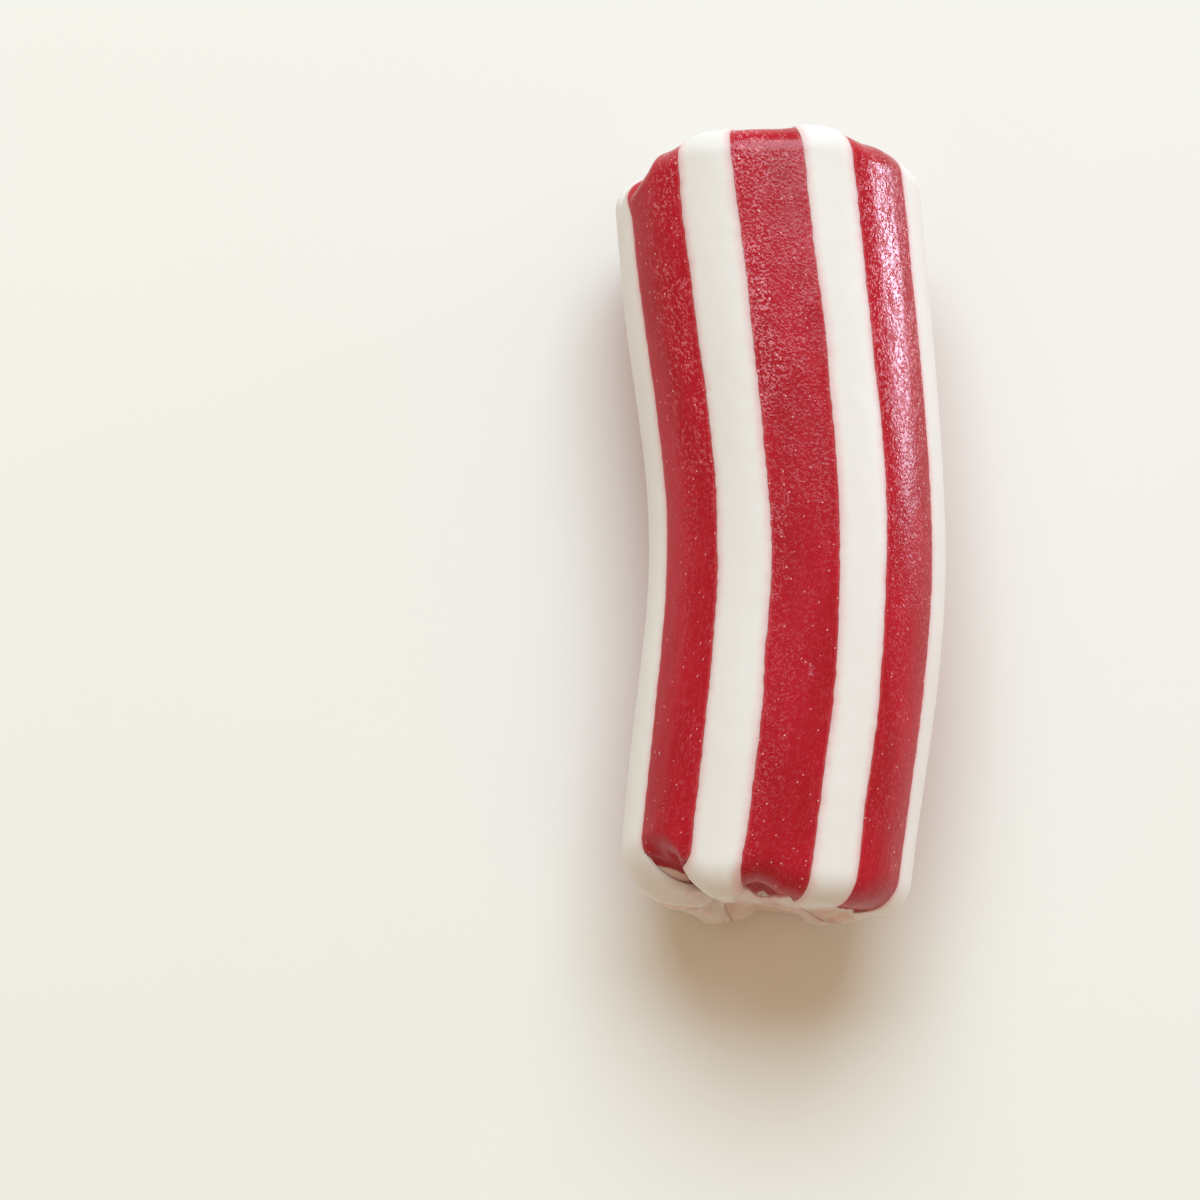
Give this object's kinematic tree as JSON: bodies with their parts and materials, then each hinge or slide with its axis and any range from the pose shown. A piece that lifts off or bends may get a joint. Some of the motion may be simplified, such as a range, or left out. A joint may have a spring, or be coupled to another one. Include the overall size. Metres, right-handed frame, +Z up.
{
  "type": "candy twist",
  "caption": "Short bent log of soft red and white striped candy, with red strands set in a white star and rough dished ends.",
  "frame": {"origin": "middle of the footprint, on the surface the log lies on", "axes": "+Y along the log towards the end that is further from the viewer, +X across it to the right, +Z up"},
  "size_m": [0.017, 0.0402, 0.0128],
  "materials": {
    "white_candy": "satin, slightly translucent white sugar paste",
    "red_candy": "satin, finely crinkled red sugar paste"
  },
  "bodies": {
    "root": {"white_star": "white_candy", "red_strand_1": "red_candy", "red_strand_2": "red_candy", "red_strand_3": "red_candy", "red_strand_4": "red_candy", "red_strand_5": "red_candy", "red_strand_6": "red_candy"}
  },
  "joints": []
}
